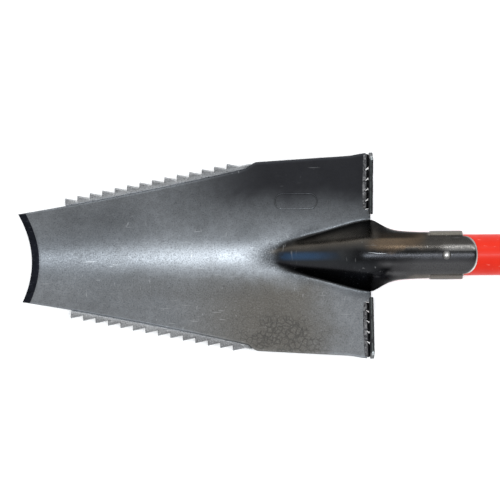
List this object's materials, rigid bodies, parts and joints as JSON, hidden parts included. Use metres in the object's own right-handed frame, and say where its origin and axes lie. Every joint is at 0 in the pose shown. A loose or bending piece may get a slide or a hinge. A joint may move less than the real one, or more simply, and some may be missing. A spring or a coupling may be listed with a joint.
{
  "type": "detecting shovel",
  "caption": "Narrow dished digging shovel with a curved mouth, saw-toothed side strips, foot treads, a red tube shaft and a D-grip.",
  "frame": {"origin": "middle of the whole shovel's footprint, on the surface that it lies on with its dished face up", "axes": "+X along the shaft from the mouth to the grip, +Y across the blade towards the left saw strip, +Z out of the dished face"},
  "size_m": [1.02, 0.1766, 0.044],
  "materials": {
    "blade_steel": "dark semi-gloss pressed steel, mottled and finely scratched, with a black ground bevel at the mouth",
    "strip_steel": "bare light steel, brushed, with ground teeth",
    "weld_steel": "dull weld metal with fine ripples",
    "tread_steel": "black steel, edges worn bright",
    "rivet_steel": "bright zinc-plated steel",
    "shaft_red": "red fibreglass with a satin gelcoat",
    "core_wood": "turned hardwood",
    "grip_black": "black moulded nylon, fine grain",
    "sleeve_rubber": "dark soft rubber with raised ribs"
  },
  "bodies": {
    "root": {"blade": "blade_steel", "saw_strip_left": "strip_steel", "saw_strip_right": "strip_steel", "strip_welds_left": "weld_steel", "strip_welds_right": "weld_steel", "tread_left": "tread_steel", "tread_right": "tread_steel", "tread_welds_left": "weld_steel", "tread_welds_right": "weld_steel", "socket_rivet": "rivet_steel", "socket_washer": "rivet_steel", "shaft_tube": "shaft_red", "lower_core": "core_wood", "upper_core": "core_wood", "grip_yoke": "grip_black", "grip_sleeve": "sleeve_rubber", "grip_rivets": "rivet_steel"}
  },
  "joints": []
}
